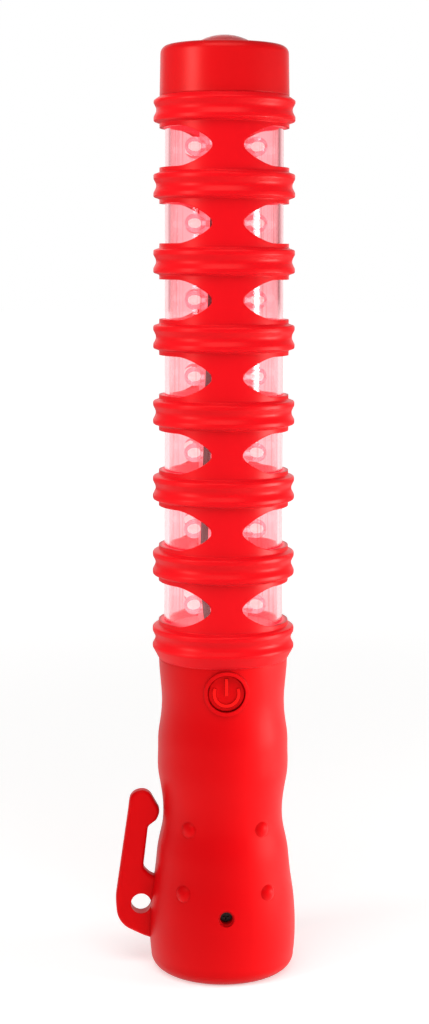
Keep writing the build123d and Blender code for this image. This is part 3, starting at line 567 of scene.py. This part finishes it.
# ---------------------------------------------------------------------------------------------
# Room: dim all round, with a bright white wall behind the flare that fades in over an angle.
# ---------------------------------------------------------------------------------------------
WALL_BRIGHTNESS = 1.0
ROOM_BRIGHTNESS = 0.18
WALL_FROM, WALL_FULL = 0.72, 0.93

world = bpy.data.worlds.new("studio_room")
scene.world = world
world.use_nodes = True
tree = world.node_tree
tree.nodes.clear()
place = add(tree, "ShaderNodeTexCoord")
axes = add(tree, "ShaderNodeSeparateXYZ", {"Vector": place.outputs["Generated"]})
brightness = {"From Min": WALL_FROM, "From Max": WALL_FULL}
brightness.update({"To Min": ROOM_BRIGHTNESS, "To Max": WALL_BRIGHTNESS})
toward_wall = add(
    tree, "ShaderNodeMapRange", {"Value": axes.outputs["Y"], **brightness}, interpolation_type="SMOOTHSTEP"
)
room = add(tree, "ShaderNodeBackground", {"Color": (1, 1, 1, 1), "Strength": toward_wall.outputs[0]})
add(tree, "ShaderNodeOutputWorld", {"Surface": room.outputs[0]})

# ---------------------------------------------------------------------------------------------
# Floor: a round sweep of matt white paper. It is lit from under, more so away from the flare,
# so it runs into the wall without an edge.
# ---------------------------------------------------------------------------------------------
FLOOR_OUTER = 6
FLOOR_RINGS, FLOOR_SPOKES = 90, 96
LIT_FROM, LIT_FULL = 0.08, 0.9
LIT_NEAR, LIT_FAR = 0.46, 0.85

ring = np.linspace(0, FLOOR_OUTER, FLOOR_RINGS)[:, None]
spoke = np.linspace(0, 2 * np.pi, FLOOR_SPOKES, endpoint=False)[None, :]
floor_points = np.stack([ring * np.cos(spoke), ring * np.sin(spoke), 0 * ring * spoke], axis=-1)
matt_paper, tree, shader = new_material(
    "matt_paper_sweep",
    Base_Color=linear("#E8E7E6"),
    Roughness=0.95,
    Specular_IOR_Level=0.1,
    Emission_Color=linear("#FFFFFF"),
)
place = add(tree, "ShaderNodeTexCoord").outputs["Object"]
reach = add(tree, "ShaderNodeVectorMath", {0: place}, operation="LENGTH").outputs["Value"]
rise = add(
    tree,
    "ShaderNodeMapRange",
    {"Value": reach, "From Min": LIT_FROM, "From Max": LIT_FULL, "To Min": LIT_NEAR, "To Max": LIT_FAR},
    interpolation_type="SMOOTHSTEP",
)
tree.links.new(rise.outputs[0], shader.inputs["Emission Strength"])
floor = new_piece("floor", floor_points, wrapped_quads(FLOOR_RINGS, FLOOR_SPOKES), matt_paper)
flag(floor, "EXCLUDE", "cage_sleeve")

# ---------------------------------------------------------------------------------------------
# Camera: a short telephoto half a metre off, level with the third ring from the top and
# tipped a little down, with its frame shifted to hold the whole flare.
# ---------------------------------------------------------------------------------------------
CAMERA_DISTANCE = 0.5109
CAMERA_HEIGHT = 0.1912
CAMERA_AZIMUTH = math.radians(-3.3)
CAMERA_PITCH = math.radians(2.0)
CAMERA_ROLL = math.radians(0.16)
LENS_MM = 67.1
SHIFT = (-0.0092, -0.185)

camera = bpy.data.objects.new("camera", bpy.data.cameras.new("camera"))
scene.collection.objects.link(camera)
camera.data.lens = LENS_MM
camera.data.shift_x, camera.data.shift_y = SHIFT
camera.data.clip_start, camera.data.clip_end = 0.01, 50
camera.location = (
    CAMERA_DISTANCE * math.sin(CAMERA_AZIMUTH),
    -CAMERA_DISTANCE * math.cos(CAMERA_AZIMUTH),
    CAMERA_HEIGHT,
)
tilt = Matrix.Rotation(math.pi / 2 - CAMERA_PITCH, 3, "X") @ Matrix.Rotation(CAMERA_ROLL, 3, "Z")
camera.rotation_euler = (Matrix.Rotation(CAMERA_AZIMUTH, 3, "Z") @ tilt).to_euler()
scene.camera = camera
scene.view_settings.view_transform = "Standard"
